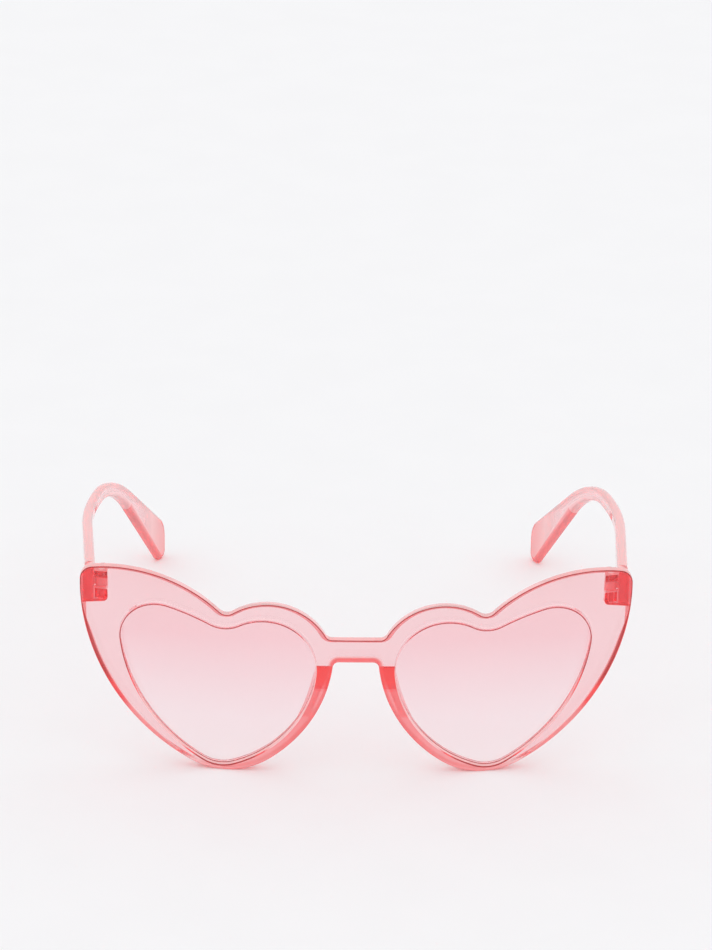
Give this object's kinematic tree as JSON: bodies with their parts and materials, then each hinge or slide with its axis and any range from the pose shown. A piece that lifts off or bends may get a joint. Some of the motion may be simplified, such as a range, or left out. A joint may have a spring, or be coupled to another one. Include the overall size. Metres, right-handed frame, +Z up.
{
  "type": "heart shaped sunglasses",
  "caption": "Clear coral-pink plastic sunglasses with swept-up heart shaped rims, gradient tinted lenses and temples that fold in on screw hinges.",
  "frame": {"origin": "on the table under the middle of the open glasses' bounding box", "axes": "+Z up, -Y is the way the front faces, +X to the wearer's left"},
  "size_m": [0.149, 0.137, 0.0573],
  "materials": {
    "clear_pink_plastic": "polished clear coral-pink moulding, deeper red where it is thick or seen along an edge",
    "tinted_lens": "clear polished lens, pink at the top fading to almost clear at the bottom",
    "screw_steel": "small machined steel screw"
  },
  "bodies": {
    "front": {"front_frame": "clear_pink_plastic", "left_lens": "tinted_lens", "right_lens": "tinted_lens", "left_hinge_screw": "screw_steel", "right_hinge_screw": "screw_steel"},
    "left_arm": {"left_temple": "clear_pink_plastic"},
    "right_arm": {"right_temple": "clear_pink_plastic"}
  },
  "joints": [
    {"name": "left_temple_fold", "type": "hinge", "parent": "front", "child": "left_arm", "pos_m": [0.067, -0.05565, 0.05125], "axis": [0, 0, 1], "range_deg": [0, 85]},
    {"name": "right_temple_fold", "type": "hinge", "parent": "front", "child": "right_arm", "pos_m": [-0.067, -0.05565, 0.05125], "axis": [0, 0, -1], "range_deg": [0, 80]}
  ]
}
